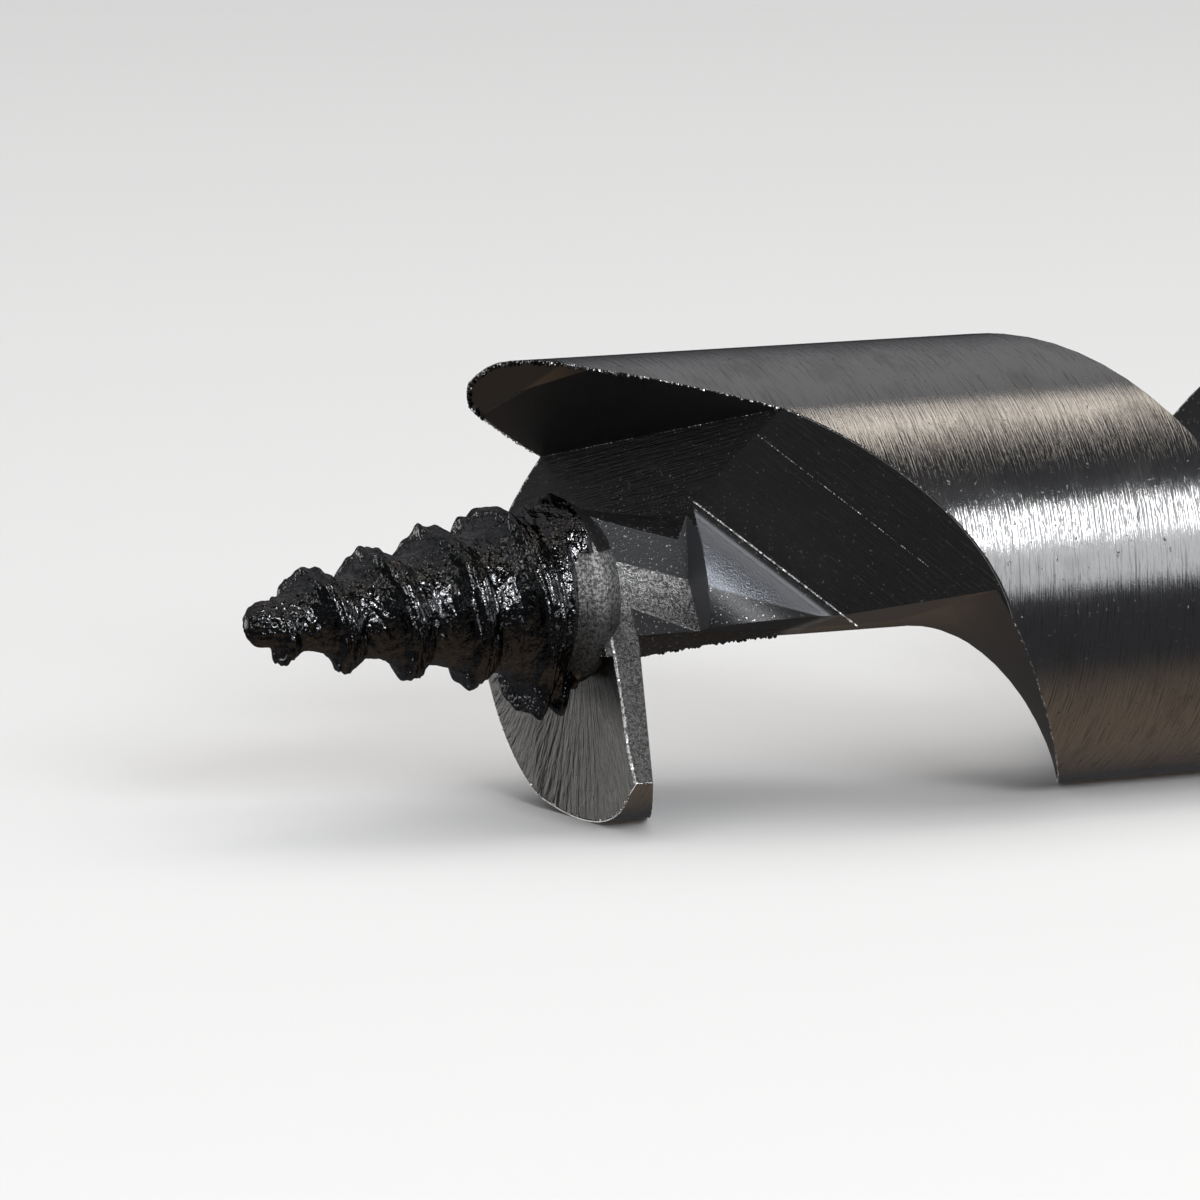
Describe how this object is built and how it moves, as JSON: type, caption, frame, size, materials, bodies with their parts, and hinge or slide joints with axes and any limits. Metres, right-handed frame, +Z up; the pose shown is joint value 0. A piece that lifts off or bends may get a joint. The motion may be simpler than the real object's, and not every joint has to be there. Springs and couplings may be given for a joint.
{
  "type": "auger drill bit",
  "caption": "Wood auger bit with a tapered lead screw, a cutting lip and spur, a wide right-hand flute round a thin core, a round neck and a hexagonal shank.",
  "frame": {"origin": "centre of the flat end of the hexagonal shank", "axes": "+X along the axis of the bit from the lead screw to the shank end; +Z up as the bit lies on its land; -Y to the viewer's side of the picture"},
  "size_m": [0.16, 0.02, 0.02],
  "materials": {
    "auger_bit": "ground bright on the land, black oxide elsewhere"
  },
  "bodies": {
    "root": {"auger_bit": "auger_bit"}
  },
  "joints": []
}
